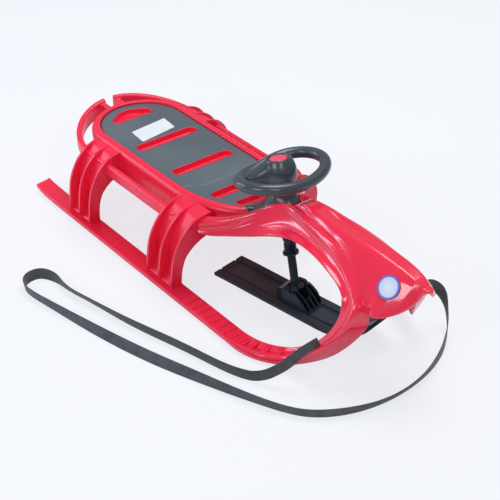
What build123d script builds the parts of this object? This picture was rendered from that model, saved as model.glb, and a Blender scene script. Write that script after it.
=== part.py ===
from build123d import *
import math
import os

os.makedirs("parts", exist_ok=True)

# Steerable plastic sled. +X is the nose, +Y the rider's left, +Z up, millimetres.
# ---- driving dimensions -------------------------------------------------------------
TAIL_X, NOSE_X = -479.0, 486.0     # ends of the runners and of the nose
MID_X = (TAIL_X + NOSE_X) / 2      # the row's origin is under the middle of the length
SOLE_Z, RUN_TOP = 5.0, 14.0        # plastic runner, lying on its steel strip
RUN_IN, RUN_OUT = 138.0, 173.0     # runner edges from the centre line
SEAT_Z, RIM_Z = 166.0, 170.0       # top of the seat pad and of the deck rim
PAD_R = 86.0                       # half width of the pad and radius of its rear end
PAD_BACK_X, PAD_FRONT_X = -320.0, -85.0   # centres of the rear radius and the front half ellipse
PAD_FRONT_A = 150.0                # half length of that ellipse
CREASE_X, PAD_RISE = -66.0, 1.4    # the pad rises ahead of this crease, degrees
RIM_W = 17.0                       # rim outside the pad
DECK_LOW = 122.0                   # bottom edge of the deck wall
WALL = 4.0                         # moulded wall
RAIL_IN, RAIL_OUT = 122.0, 134.0   # grip rail round the deck
RAIL_Z0, RAIL_Z1 = 124.0, 150.0
HORN_Z, HORN_GAP = 173.0, 11.5     # top of the rear handles, half the gap between them
LEG_PITCH, FIN_T = 41.0, 6.0       # spacing and thickness of the fins of one leg
AXIS_TILT = 12.4                   # degrees the column leans back
AXIS_FOOT = (152.0, 0.0, 30.0)     # the column axis near the ski
WHEEL_FORM = (70.9, 9.5, -14.6)    # rim radius: mean, once and twice round (wider than long)
WHEEL_RISE = (225.6, -5.2, -3.9)   # its height along the axis in the same terms
WHEEL_TUBE = 10.5
STEER_REST = 9.5                   # the steering is parked turned to the left, degrees
PAD_T, SLOT_LIP = 8.0, 2.4          # pad thickness; red lip round each of its slots
SKI_BACK, SKI_W, SKI_T = 167.0, 75.0, 6.0
PIVOT = (7.0, 38.0)                # ski pivot: forward of the axis foot, and height
WEB_W = 20.0                       # width of the pull strap


def mirror_y(shape):
    return shape.mirror(Plane.XZ)


def put(name, shape):
    shape = Pos(-MID_X, 0, 0) * shape
    shape.label = name
    print(f"{name:20s} solids {len(shape.solids())}  volume {shape.volume / 1000:9.2f} cm3")
    export_step(shape, f"parts/{name}.step")


def biggest(shape):
    return sorted(shape.solids(), key=lambda b: -b.volume)[0]


def fit_to(shape, *others):
    """Trim a piece back to the faces of its neighbours."""
    for other in others:
        shape = shape - other
    return biggest(shape)


def along(table, x):
    """Straight-line reading of a table of (x, a, b...) rows."""
    for a, b in zip(table, table[1:]):
        if x <= b[0]:
            t = max(0.0, (x - a[0]) / (b[0] - a[0]))
            return [p + t * (q - p) for p, q in zip(a[1:], b[1:])]
    return list(table[-1][1:])


def smooth(t):
    t = min(1.0, max(0.0, t))
    return t * t * (3 - 2 * t)


# ---- skinned solids: smooth rows joined by ruled faces -----------------------------------
def ruled(a, b):
    return Face.make_surface_from_curves(a, b)


def patch(a, b, c, d):
    return ruled(Edge.make_line(a, b), Edge.make_line(d, c))


def skinned(rows, caps):
    """Closed solid between smooth rows of points; caps are quads of row numbers."""
    edges = [Edge.make_spline([Vector(*p) for p in row]) for row in rows]
    faces = [ruled(a, b) for a, b in zip(edges, edges[1:] + edges[:1])]
    for end in (0, -1):
        for cap in caps:
            faces.append(patch(*[Vector(*rows[i][end]) for i in cap]))
    return Solid(Shell(faces))


# ---- plans of the seat -----------------------------------------------------------------------
def oval(grow, z):
    """Plan outline of the seat, grown by the given amount."""
    r = PAD_R + grow
    plan = Pos((PAD_FRONT_X + PAD_BACK_X) / 2, 0) * Rectangle(PAD_FRONT_X - PAD_BACK_X, 2 * r)
    plan += Pos(PAD_BACK_X, 0) * Circle(r) + Pos(PAD_FRONT_X, 0) * Ellipse(PAD_FRONT_A + grow, r)
    return Pos(0, 0, z) * plan


def prism(sketch, height):
    return extrude(sketch, height, dir=(0, 0, 1))


def side_cut(points, half=400):
    """A straight cutter seen from the side."""
    return extrude(Plane.XZ * Polygon(points, align=None), half, both=True)


# ---- deck: the moulded tray under the pad ----------------------------------------------------
def deck_block():
    body = prism(oval(RIM_W, DECK_LOW), RIM_Z - DECK_LOW)
    return fillet(body.faces().sort_by(Axis.Z)[-1].edges(), 11)


def slot_plan(x, half, width=10):
    return Pos(x, 0) * SlotOverall(2 * half, width, rotation=90)


def slots(grow):
    """Outline of the five slots, two of them curved with the ends of the pad."""
    cuts = slot_plan(-241, 70 + grow, 18 + 2 * grow) + slot_plan(-122, 70 + grow, 18 + 2 * grow)
    cuts += slot_plan(-9, 64 + grow, 16 + 2 * grow)
    return cuts + crescent(-362, 62, 37 + grow, 23 + 2 * grow) + crescent(46, 70, 34 + grow, 12 + 2 * grow)


def crescent(x, radius, half, width):
    """Curved slot, convex towards the nearer end of the pad."""
    side = 1 if x > PAD_FRONT_X else -1
    a = math.degrees(math.asin(half / radius))
    return SlotArc(CenterArc((x - side * radius, 0), radius, (0 if side > 0 else 180) - a, 2 * a), width)


def deck():
    body = deck_block() - prism(oval(0, SEAT_Z - PAD_T), 20)
    body -= prism(oval(RIM_W - WALL, DECK_LOW - 1), SEAT_Z - PAD_T - 6 - WALL - DECK_LOW + 1)
    body += prism(Pos(0, 0, SEAT_Z - PAD_T - 1) * slots(0), PAD_T + 0.6)
    body -= prism(Pos(0, 0, SEAT_Z - PAD_T - 1.5) * slots(-SLOT_LIP), PAD_T + 20)
    return body - side_cut([(-332, 100), (-332, 123), (-375, 148), (-412, 154), (-460, 156), (-460, 100)])


def pad():
    body = prism(oval(-0.6, SEAT_Z - PAD_T), PAD_T + 6)
    rise = 160 * math.tan(math.radians(PAD_RISE))
    body -= side_cut([(-600, SEAT_Z), (CREASE_X, SEAT_Z), (CREASE_X + 160, SEAT_Z + rise), (120, 200), (-600, 200)])
    return body - prism(Pos(0, 0, SEAT_Z - PAD_T - 1) * slots(0.3), 20) - label()


def label():
    return Pos(-284, 0, SEAT_Z - 0.6) * extrude(Rectangle(42, 80), 0.6)


# ---- grip rail: side bar running into the rear handle ---------------------------------------
RAIL_SECTION = [(0, -3), (-3, 0), (-9, 0), (-12, -3), (-12, 3), (-9, 0), (-3, 0), (0, 3)]


def grip_rail():
    rows = []
    last = math.pi - math.asin(HORN_GAP / RAIL_OUT)
    for n, (dr, dz) in enumerate(RAIL_SECTION):
        top = n < 4
        z = (RAIL_Z1 if top else RAIL_Z0) + dz
        r = RAIL_OUT + dr
        row = [(x, r, z) for x in (-30.0, -130.0, -230.0)]
        for i in range(13):
            a = min(math.pi / 2 * (1 + i / 12), last)
            up = (HORN_Z - RAIL_Z1) * smooth(i / 12) * (1 if top else 0.62)
            row.append((PAD_BACK_X + r * math.cos(a), r * math.sin(a), z + up))
        rows.append(row)
    body = skinned(rows, [(0, 1, 6, 7), (1, 2, 5, 6), (2, 3, 4, 5)])
    y1 = HORN_GAP + 12
    xo = PAD_BACK_X - math.sqrt(RAIL_OUT ** 2 - y1 ** 2)
    link = Box(30, y1 - HORN_GAP, 12, align=(Align.MIN, Align.MIN, Align.MAX))
    body = body + Pos(xo, HORN_GAP, 166) * link - deck_block()
    return biggest(body)


# ---- legs: a web with three fins, leaning forward and curling in to the rim --------------------
FIN_CURVE = [(162, 14), (166, 48), (167, 78), (164.5, 104), (157, 126), (147, 143), (134, 156), (116, 164), (92, 167)]
WEB_CURVE = [(143, 14), (146, 50), (148, 78), (148, 102), (145, 121), (138, 141), (128, 153), (112, 162), (92, 166)]
WEB_BACK = [(139, 14), (142, 50), (144, 78), (144, 100), (141, 118), (134, 136), (124, 148), (109, 157), (92, 160)]
FIN_BACK = [(138, 14), (141, 38), (142, 60), (139, 80), (132, 92), (121, 104), (109, 112), (92, 117)]


def leg_slice(outer, inner, lean, thick):
    """Slab between two curves of the cross-section, on a plane leaning with the leg."""
    k = math.tan(math.radians(lean))
    plane = Plane(origin=(0, 0, 0), x_dir=(0, 1, 0), z_dir=(1, 0, -k))

    def local(y, z):
        return plane.to_local_coords(Vector(k * z, y, z))
    out = [local(y, z) for y, z in outer]
    inn = [local(y, z) for y, z in inner]
    foot = [local(outer[0][0], 0), local(inner[0][0], 0)]
    wire = Wire([Edge.make_spline(out), Edge.make_line(out[-1], inn[-1]), Edge.make_spline(inn),
                 Edge.make_line(inn[0], foot[1]), Edge.make_line(foot[1], foot[0]),
                 Edge.make_line(foot[0], out[0])])
    return extrude(plane * Face(wire), thick, dir=(1, 0, 0))


def leg(x_foot, lean, rail):
    base = x_foot - math.tan(math.radians(lean)) * RUN_TOP
    body = leg_slice(WEB_CURVE, WEB_BACK, lean, 2 * LEG_PITCH + FIN_T)
    for i in range(3):
        body += Pos(i * LEG_PITCH, 0, 0) * leg_slice(FIN_CURVE, FIN_BACK, lean, FIN_T)
    body = Pos(base, 0, 0) * body
    body -= Pos(0, 0, RUN_TOP) * Box(2000, 2000, 100, align=(Align.CENTER, Align.CENTER, Align.MAX))
    return fit_to(body, deck_block(), prism(oval(RIM_W - 1, 90), RIM_Z - 99), rail)


# ---- runners and their steel strips ----------------------------------------------------------
def runner():
    plan = Polygon([(TAIL_X, RUN_IN), (TAIL_X + 5, RUN_OUT - 2), (TAIL_X + 40, RUN_OUT), (205, RUN_OUT),
                    (205, RUN_IN)], align=None)
    body = prism(plan, 40)
    lift = [(205, SOLE_Z), (205, RUN_TOP), (-400, RUN_TOP), (-440, RUN_TOP + 1.2), (TAIL_X, RUN_TOP + 4),
            (TAIL_X, SOLE_Z + 5), (-440, SOLE_Z + 1.2), (-400, SOLE_Z)]
    body = body & side_cut(lift)
    for i in range(4):
        body -= Pos(TAIL_X, RUN_IN + 7 + i * 7, RUN_TOP + 4) * Box(30, 3.2, 4)
    for i in range(6):
        tread = side_cut([(44 + i * 25, RUN_TOP - 0.5), (62 + i * 25, RUN_TOP - 0.5), (62 + i * 25, RUN_TOP + 2)], 400)
        body += tread & Pos(0, (RUN_IN + RUN_OUT) / 2, RUN_TOP) * Box(2000, RUN_OUT - RUN_IN - 6, 20)
    return body


def steel_rail():
    side = [(200, 0), (-425, 0), (-446, 2.5), (-458, 7), (-456, 8), (-440, 6.2), (-400, SOLE_Z), (200, SOLE_Z)]
    body = side_cut(side) & Pos(0, 163, 0) * Box(2000, 10, 60)
    return body - runner()


# ---- front ribbon: runner top twisting up the arch and back along the bonnet ---------------------
# opening edge, crease and outer edge of the same angle-shaped band, station by station
ARCH_EDGE = [(205, 138, 14), (230, 129, 14), (262, 114, 18), (290, 107, 33), (315, 100, 52), (337, 93, 76),
             (351, 86, 102), (357, 80, 126), (356, 76, 144), (350, 72, 158), (336, 68, 168), (312, 64, 174),
             (275, 57, 180), (235, 51, 181), (198, 50, 178)]
ARCH_CREASE = [(205, 173, 14), (240, 158, 14), (276, 138, 17), (305, 131, 34), (334, 122, 58), (360, 112, 84),
               (376, 101, 110), (384, 88, 134), (384, 78, 151), (375, 68, 163), (357, 57, 175), (322, 46, 188),
               (279, 36, 203), (235, 30, 207), (150, 30, 200)]
ARCH_OUT = [(205, 173, 5), (243, 159, 5), (277, 142, 8), (303, 130, 20), (327, 111, 31), (354, 87, 48),
            (371, 72, 72), (387, 58, 98), (395, 53, 124), (392, 50, 144), (368, 42, 173), (338, 38, 200),
            (290, 30, 211), (240, 24, 211), (155, 24, 205)]


def thickened(rows, t):
    """Rows of the inner side of a folded band, set off by its wall thickness."""
    outer = [[Vector(*p) for p in row] for row in rows]
    count = len(outer[0])
    inner = []
    for r, row in enumerate(outer):
        line = []
        for i, p in enumerate(row):
            ahead = row[min(i + 1, count - 1)] - row[max(i - 1, 0)]
            sides = [(b[i] - a[i]).cross(ahead).normalized() for a, b in zip(outer, outer[1:])]
            touching = sides[max(r - 1, 0):r + 1]
            n = sum(touching, Vector(0, 0, 0))
            n = n / (1 if len(touching) == 1 else 1 + touching[0].dot(touching[1]))
            q = p + n * t
            line.append((q.X, q.Y, q.Z))
        inner.append(line)
    return inner


def arch():
    rows = [ARCH_EDGE, ARCH_CREASE, ARCH_OUT]
    return skinned(rows + thickened(rows, 5.5)[::-1], [(0, 1, 4, 5), (1, 2, 3, 4)])


# ---- skirt: from the middle leg to the ribbon, below the lip -------------------------------------
LIP = [(150, 30, 200), (126, 36, 191), (106, 47, 184), (92, 59, 176), (80, 76, 171), (60, 92, 164), (32, 105, 158),
       (2, 119, 153)]
HEM = [(198, 50, 178), (160, 57, 169), (124, 69, 153), (95, 86, 146), (72, 96, 140), (50, 105, 131), (28, 113, 125),
       (2, 121, 122)]


def skirt():
    inner = []
    for row in (HEM, LIP):
        inner.append([(x - 3.5, y - 3.5, z - 1.5) for x, y, z in row])
    body = skinned([LIP, HEM, inner[0], inner[1]], [(0, 1, 2, 3)])
    return body


# ---- bonnet: shield between the two ribbons, narrow flat top, lobes and pointed tip ---------------
RIDGE = [(146, 13, 207), (175, 13, 225), (205, 13, 230), (365, 13, 227), (417, 12, 223), (440, 11, 218),
         (454, 9.5, 213), (466, 7, 208), (474, 5, 208), (NOSE_X, 0.8, 209)]
SHIELD_EDGE = [(146, 24, 197), (211, 22, 208), (256, 27, 211), (290, 31, 212), (331, 38, 203), (352, 42, 192),
               (372, 47, 178), (392, 56, 162), (409, 64, 150), (422, 61, 151), (434, 53, 157), (446, 42, 167),
               (455, 30, 178), (461, 18, 191), (466, 7, 201), (474, 3.5, 203), (NOSE_X, 0.6, 206.5)]
LEDGE = [(146, 18, 192), (235, 25, 199), (279, 33, 197), (322, 44, 184), (357, 55, 170), (375, 66, 157),
         (386, 66, 148), (409, 58, 145)]


def shield_station(x, ye, ze):
    """Ridge, bow of the face and under-edge of the shield's cross-section at x."""
    yr, zr = along(RIDGE, x)
    puff = 4.0 * smooth((NOSE_X - x) / 60) * smooth((x - 140) / 80)
    if x <= LEDGE[-1][0]:
        yl, zl = along(LEDGE, x)
    else:
        yl, zl = max(ye - 5, 0.45), ze - 1 - 1.5 * smooth((NOSE_X - x) / 40)
    return yr, zr, puff, yl, zl


def mirrored(half):
    return half + [[(x, -y, z) for x, y, z in row] for row in half[::-1]]


def bonnet_rows():
    half = [[] for _ in range(6)]
    for x, ye, ze in SHIELD_EDGE:
        yr, zr, puff, yl, zl = shield_station(x, ye, ze)
        half[0].append((x, yl, zl))
        for row, t in zip(half[1:], (0, 0.25, 0.5, 0.75, 1)):
            bow = 4 * t * (1 - t) * puff
            row.append((x, ye + (yr - ye) * t + bow * 0.6, ze + (zr - ze) * t + bow * 0.5))
    return mirrored(half)


def hollow_rows():
    """Inside of the shield, open below."""
    half = [[] for _ in range(4)]
    for x, ye, ze in SHIELD_EDGE[1:13]:
        yr, zr, puff, yl, zl = shield_station(x, ye, ze)
        foot = min(ye + (yr - ye) * 0.15 - WALL, yl - WALL)
        half[0].append((x, foot, zl - 25))
        for row, t in zip(half[1:], (0.15, 0.55, 0.95)):
            y = foot if t < 0.2 else ye + (yr - ye) * t - WALL
            row.append((x, y, ze + (zr - ze) * t - WALL))
    return mirrored(half)


def bonnet(ribbons):
    body = skinned(bonnet_rows(), [(i, i + 1, 10 - i, 11 - i) for i in range(5)])
    body -= skinned(hollow_rows(), [(i, i + 1, 6 - i, 7 - i) for i in range(3)])
    body -= Pos(266, 0, 230 - 2.4) * Box(78, 13, 8, align=(Align.CENTER, Align.CENTER, Align.MIN))
    return fit_to(body, *ribbons)


def badge(shield):
    """Blank round plate lying on the right face of the shield."""
    sight = Axis(origin=(418, -50, 222), direction=(0, 0.55, -0.83))
    sight = Axis(origin=(425, -50, 215), direction=(-0.35, 0.6, -0.72))
    where, normal = min(shield.find_intersection_points(sight), key=lambda hit: hit[0].Y)
    face = Plane(origin=where + normal * 1.6, z_dir=normal)
    return fit_to(face * extrude(Circle(20), -5), shield)


# ---- steering --------------------------------------------------------------------------------
def axis_plane(s):
    """Plane square to the column axis, s millimetres up from its foot, turned as parked."""
    t = math.radians(AXIS_TILT)
    d = Vector(-math.sin(t), 0, math.cos(t))
    x = Vector(math.cos(t), 0, math.sin(t)).rotate(Axis((0, 0, 0), d), STEER_REST)
    return Plane(origin=Vector(*AXIS_FOOT) + d * s, x_dir=x, z_dir=d)


def tube(s0, s1, r):
    return axis_plane(s0) * extrude(Circle(r), s1 - s0)


def ski_plane():
    """Plane on the floor under the axis foot, x along the ski as parked."""
    a = math.radians(STEER_REST)
    return Plane(origin=(AXIS_FOOT[0], 0, 0), x_dir=(math.cos(a), math.sin(a), 0), z_dir=(0, 0, 1))


def pivot_rod(r, half):
    rod = Pos(PIVOT[0], 0, PIVOT[1]) * Rot(90, 0, 0) * Cylinder(r, 2 * half)
    return ski_plane() * rod


def column():
    section = Circle(7.6)
    for i in range(10):
        a = math.radians(36 * i)
        section -= Pos(8.0 * math.cos(a), 8.0 * math.sin(a)) * Circle(1.1)
    body = axis_plane(12) * extrude(section, 186)
    lug = Pos(2.5, 0, 38) * Box(23, 14, 14)
    lug = fillet(lug.edges().filter_by(Axis.Y), 5)
    return body + ski_plane() * lug + tube(6, 14, 8.5) - pivot_rod(3.2, 20)


def bellows():
    wave = [(14.5, 0), (14.5, 4.5), (10, 6)]
    for i in range(3):
        wave += [(9.6, 7 + 4.6 * i), (11.6, 9.3 + 4.6 * i)]
    wave += [(9.8, 21), (15, 45), (12.5, 45), (8, 24)]
    half = Plane.XZ * Polygon([(8, 0)] + wave, align=None)
    return axis_plane(70) * revolve(half, Axis.Z)


def wheel_point(a):
    """Point of the rim's centre line at angle a from straight ahead, in the axis frame."""
    r, s = (c0 + c1 * math.cos(a) + c2 * math.cos(2 * a) for c0, c1, c2 in (WHEEL_FORM, WHEEL_RISE))
    return r * math.cos(a), r * math.sin(a), s


def rounded_plan(front, share, n=16):
    """Closed plan about the axis: a circle ahead, drawn out to a share of the way to the rim behind."""
    pts = []
    for i in range(n):
        a = 2 * math.pi * i / n
        turn = math.degrees(min(a, 2 * math.pi - a))
        r = front + (0.97 * math.hypot(*wheel_point(a)[:2]) - front) * share * smooth((turn - 86) / 34)
        pts.append((r * math.cos(a), r * math.sin(a)))
    return Face(Wire(Edge.make_spline([Vector(x, y, 0) for x, y in pts], periodic=True)))


def rim_row(turn, count=20):
    """Closed line along the rim's skin, at one angle of its round section."""
    frame, row = axis_plane(0), []
    for i in range(count):
        a = 2 * math.pi * i / count
        here, last, then = (Vector(*wheel_point(a + d)) for d in (0, -0.01, 0.01))
        run = (then - last).normalized()
        side = run.cross(Vector(0, 0, 1)).normalized()
        skin = here + (side * math.cos(turn) + side.cross(run) * math.sin(turn)) * WHEEL_TUBE
        row.append(frame.from_local_coords(skin))
    return Edge.make_spline(row, periodic=True)


def wheel():
    rows = [rim_row(2 * math.pi * k / 16) for k in range(16)]
    ring = Solid(Shell([ruled(a, b) for a, b in zip(rows, rows[1:] + rows[:1])]))
    # hub: a dome that fans out to the back half of the rim
    levels = [(200, 20, 0), (210, 27, 0.3), (221, 29.5, 0.9), (230, 29, 0.92), (237, 27.7, 0.52), (244, 25.5, 0.17),
              (252, 21.8, 0)]
    hub = loft([axis_plane(s) * rounded_plan(a, b) for s, a, b in levels])
    return ring + hub - tube(248, 262, 18.6)


def button():
    cap = Cylinder(15.6, 3, align=(Align.CENTER, Align.CENTER, Align.MIN))
    return axis_plane(248) * fillet(cap.edges().group_by(Axis.Z)[-1], 1.3)


def console():
    """Saddle under the wheel: a round neck spreading to two thin wings that lie on the rim."""
    levels = [
        (162, [(58, 0), (63, 23), (72, 43), (89, 57), (105, 54), (122, 36), (146, 24), (160, 0)]),
        (176, [(65, 0), (71, 22), (82, 37), (98, 44), (112, 40), (128, 31), (150, 21), (160, 0)]),
        (190, [(76, 0), (82, 18), (92, 28), (104, 33), (118, 31), (134, 25), (150, 15), (157, 0)]),
        (203, [(84, 0), (88, 15), (96, 24), (108, 27), (122, 26), (136, 19), (146, 10), (149, 0)]),
    ]
    faces = []
    for z, half in levels:
        pts = half + [(x, -y) for x, y in reversed(half[1:-1])]
        faces.append(Face(Wire(Edge.make_spline([Vector(x, y, z) for x, y in pts], periodic=True))))
    faces.append(axis_plane(192) * rounded_plan(19.5, 0))
    return loft(faces) - tube(100, 240, 9.5)


# ---- ski, hinged to the foot of the column ------------------------------------------------------
def ski_band(lift, drop, width, y=0.0):
    """Strip following the ski's side profile, from 'drop' under to 'lift' over its top."""
    low = [(-SKI_BACK - 5, 0), (-60, 0), (60, 0), (110, 3), (150, 18), (180, 40), (197, 60)]
    top = [(-SKI_BACK - 5, SKI_T), (-60, SKI_T), (60, SKI_T), (108, 9), (146, 23), (175, 44), (191.5, 63.5)]
    if drop is not None:
        low = [(x + 0.35 * drop * (z > 20), z - drop) for x, z in top]
    top = [(x - 0.5 * lift * (z > 20), z + lift) for x, z in top]
    lo, hi = (Edge.make_spline([Vector(x, 0, z) for x, z in row]) for row in (low, top))
    face = Face(Wire([lo, Edge.make_line(lo @ 1, hi @ 1), hi, Edge.make_line(lo @ 0, hi @ 0)]))
    return Pos(0, y, 0) * extrude(face, width / 2, dir=(0, 1, 0), both=True)


def ski():
    body = ski_band(0, None, SKI_W)
    for y in (-19.5, 19.5):
        body -= ski_band(6, 2.4, 5, y)
    body -= ski_band(6, 1.0, 30) - Pos(-SKI_BACK, 0, 0) * Box(22, 200, 60)
    plan = RectangleRounded(2 * 205, SKI_W, 16)
    plan = plan & Pos(102.5 - SKI_BACK / 2, 0) * Rectangle(205 + SKI_BACK, 200)
    return ski_plane() * (body & extrude(Pos(0, 0, -5) * plan, 100))


def bracket():
    crown = Edge.make_spline([Vector(*p) for p in
                              [(-40, 0, 4), (-36, 0, 17), (-24, 0, 31), (-8, 0, 38), (4, 0, 38)]])
    front = Edge.make_spline([Vector(*p) for p in [(4, 0, 38), (20, 0, 33), (36, 0, 21), (50, 0, 4)]])
    face = Face(Wire([crown, front, Edge.make_line((50, 0, 4), (-40, 0, 4))]))
    body = extrude(face, 24.5, dir=(0, 1, 0), both=True)
    body = body & prism(Pos(10, 0, 0) * Ellipse(50, 27), 60)
    for i in range(4):
        body -= Pos(4, -16.5 + 11 * i, 9) * Box(60, 8, 60, align=(Align.MIN, Align.CENTER, Align.MIN))
    for y in (-14.5, 14.5):
        ear = Pos(PIVOT[0], y, PIVOT[1]) * Rot(90, 0, 0) * Cylinder(8, 5)
        body += ear + Pos(PIVOT[0], y, 22) * Box(16, 5, 30)
    pocket = Pos(-14, 0, 20) * Box(44, 22, 60, align=(Align.MIN, Align.CENTER, Align.MIN))
    body = body - pocket
    return fit_to(ski_plane() * body - pivot_rod(3.2, 30), ski())


# ---- pull strap: one loop of webbing lying on the floor ------------------------------------------
STRAP = [(343, -112, 81.5), (334, -140, 72), (316, -166, 38), (287, -196, 10.2), (244, -221, 10.2),
         (142, -245, 10.2), (33, -278, 10.2), (-69, -298, 10.2), (-126, -311, 10.2), (-166, -308, 10.2),
         (-199, -320, 10.2), (-203, -346, 10.2), (-188, -367, 10.2), (-158, -371, 10.2), (-93, -358, 10.2),
         (4, -338, 10.2), (118, -308, 10.2), (219, -274, 10.2), (314, -239, 10.2), (392, -203, 10.2),
         (427, -165, 10.2), (452, -112, 10.2), (462, -60, 10.2), (461, -8, 10.2), (450, 42, 10.2),
         (431, 88, 10.2), (406, 126, 10.2), (384, 152, 20), (362, 167, 42), (346, 165, 66), (338, 148, 80),
         (339, 130, 83), (342.5, 113, 81)]


def pull_strap():
    line = []
    pts = [Vector(*p) for p in STRAP]
    radii, cuts = [], [0.0] * len(pts)
    for i in range(1, len(pts) - 1):
        u, v = pts[i] - pts[i - 1], pts[i + 1] - pts[i]
        half = math.radians(u.get_angle(v)) / 2
        reach = 0.45 * min(u.length, v.length)
        cuts[i] = reach
        radii.append(reach / math.tan(half))
    at = pts[0]
    for i in range(1, len(pts)):
        u = (pts[i] - pts[i - 1]).normalized()
        end = pts[i] - u * cuts[i]
        line.append(Edge.make_line(at, end))
        if i < len(pts) - 1:
            v = (pts[i + 1] - pts[i]).normalized()
            nxt = pts[i] + v * cuts[i]
            line.append(Edge.make_tangent_arc(end, u, nxt))
            at = nxt
    path = Wire(line)
    length = path.length
    print("strap radii", " ".join(f"{r:.0f}" for r in radii), f"length {length:.0f}")
    start = Plane(origin=pts[0], z_dir=(pts[1] - pts[0]).normalized())
    body = sweep(start * Circle(WEB_W / 2), path=path)
    print(f"strap volume {body.volume:.0f}, section times length {math.pi * WEB_W ** 2 / 4 * length:.0f}")
    return body


tag = {1: "left", -1: "right"}
put("deck", deck())
put("seat_pad", pad())
put("seat_label", label())
strip, shoe = steel_rail(), runner()
band = fit_to(arch(), shoe)
bands = [band, mirror_y(band)]
wing = fit_to(skirt(), band, deck_block())
top = bonnet(bands)
for s in (wing, mirror_y(wing)):
    top = fit_to(top, s)
rail = grip_rail()
rear, middle = leg(-374, 17, rail), leg(-94, 14.5, rail)
wing = fit_to(wing, middle, rail)
slot_cut = Plane(origin=(350, 101, 83), x_dir=(4, -8, 20), z_dir=(-0.42, 0.87, 0.27)) * Box(26, 5, 40)
band = fit_to(band, slot_cut)
for s in (1, -1):
    side = (lambda b: b) if s > 0 else mirror_y
    for name, piece in (("grip_rail", rail), ("rear_leg", rear), ("middle_leg", middle), ("runner", shoe),
                        ("steel_rail", strip), ("arch", band), ("skirt", wing)):
        put(f"{name}_{tag[s]}", side(piece))
put("bonnet", top)
boss = fit_to(console(), wing, mirror_y(wing), top, deck_block(), pad(), *bands)
put("console", boss)
put("column", column())
put("bellows", bellows())
put("wheel", wheel())
put("wheel_button", button())
put("ski", ski())
put("ski_bracket", bracket())
put("ski_pin", pivot_rod(3.0, 18))
put("badge", badge(top))
put("pull_strap", pull_strap())
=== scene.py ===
import bpy, bmesh, math
from mathutils import Vector, Matrix


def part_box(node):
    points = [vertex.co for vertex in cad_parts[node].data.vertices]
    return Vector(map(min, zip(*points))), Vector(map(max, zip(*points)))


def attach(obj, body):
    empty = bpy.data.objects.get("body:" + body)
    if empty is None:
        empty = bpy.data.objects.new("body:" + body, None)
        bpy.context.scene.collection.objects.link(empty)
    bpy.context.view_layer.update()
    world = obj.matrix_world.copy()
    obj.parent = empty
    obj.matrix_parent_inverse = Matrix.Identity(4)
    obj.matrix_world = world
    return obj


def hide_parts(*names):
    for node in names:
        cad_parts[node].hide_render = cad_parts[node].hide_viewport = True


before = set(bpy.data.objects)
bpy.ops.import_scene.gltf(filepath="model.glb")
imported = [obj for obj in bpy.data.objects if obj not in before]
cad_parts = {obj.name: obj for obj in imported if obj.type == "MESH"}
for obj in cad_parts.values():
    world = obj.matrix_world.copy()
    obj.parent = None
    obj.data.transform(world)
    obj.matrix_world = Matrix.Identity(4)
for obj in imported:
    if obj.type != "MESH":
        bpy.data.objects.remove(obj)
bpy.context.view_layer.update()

# ------------------------------------------------------------------------------------------
# Camera: a long lens, high up on the sled's right and ahead of its nose, looking back and
# down at it. It leans over by a fifth of a degree.
camera = bpy.data.objects.new("camera", bpy.data.cameras.new("camera"))
bpy.context.scene.collection.objects.link(camera)
camera.data.sensor_width = 36.0
camera.data.lens = 90.1
camera.data.clip_start, camera.data.clip_end = 0.05, 60
eye = Vector((1.5335, -1.186, 1.342))
turn, dip, roll = math.radians(142.0), math.radians(34.0), math.radians(-0.21)
ahead = Vector((math.cos(turn) * math.cos(dip), math.sin(turn) * math.cos(dip), -math.sin(dip)))
camera.matrix_world = (Matrix.Translation(eye) @ ahead.to_track_quat("-Z", "Y").to_matrix().to_4x4()
                       @ Matrix.Rotation(roll, 4, "Z"))
bpy.context.scene.camera = camera
bpy.context.scene.view_settings.view_transform = "Standard"

# ------------------------------------------------------------------------------------------
# Pull strap: one length of flat woven webbing, 20 mm wide. It leaves the slot in the right
# arch, makes a long loop on the floor and goes back in through the slot in the left arch.
STRAP_WIDTH, STRAP_THICK, FLOOR_GAP = 0.020, 0.0016, 0.0003
LIES_FROM, LIES_TO, SETTLE = 0.06, 0.93, 0.06       # shares of its run: on the floor, easing in
DRAWN_BEHIND = 3.5      # mm by which the zero of the drawing lies behind the sled's middle

# the strap's course on the drawing: forward, left and up, in metres
STRAP_ROUTE = [(0.343, -0.112, 0.0815), (0.334, -0.140, 0.070), (0.316, -0.163, 0.036),
               (0.287, -0.193, 0.0098), (0.242, -0.218, 0.0095), (0.140, -0.242, 0.0090),
               (0.031, -0.275, 0.0085), (-0.071, -0.295, 0.0085), (-0.128, -0.308, 0.0090),
               (-0.168, -0.306, 0.0095), (-0.200, -0.318, 0.0100), (-0.205, -0.344, 0.0100),
               (-0.190, -0.365, 0.0098), (-0.160, -0.369, 0.0095), (-0.095, -0.356, 0.0090),
               (0.002, -0.336, 0.0085), (0.116, -0.306, 0.0085), (0.217, -0.272, 0.0090),
               (0.312, -0.237, 0.0095), (0.390, -0.201, 0.0095), (0.425, -0.163, 0.0090),
               (0.450, -0.110, 0.0085), (0.460, -0.058, 0.0080), (0.459, -0.008, 0.0078),
               (0.449, 0.041, 0.0080), (0.430, 0.087, 0.0088), (0.406, 0.125, 0.0120),
               (0.384, 0.151, 0.022), (0.362, 0.166, 0.043), (0.346, 0.164, 0.066),
               (0.338, 0.147, 0.080), (0.339, 0.129, 0.083), (0.3425, 0.113, 0.081)]

# cross-section of the webbing, in halves of its width and of its thickness
SELVEDGE = ((-1, -0.5), (-0.9, -1), (0.9, -1), (1, -0.5), (1, 0.5), (0.9, 1), (-0.9, 1), (-1, 0.5))


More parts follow.
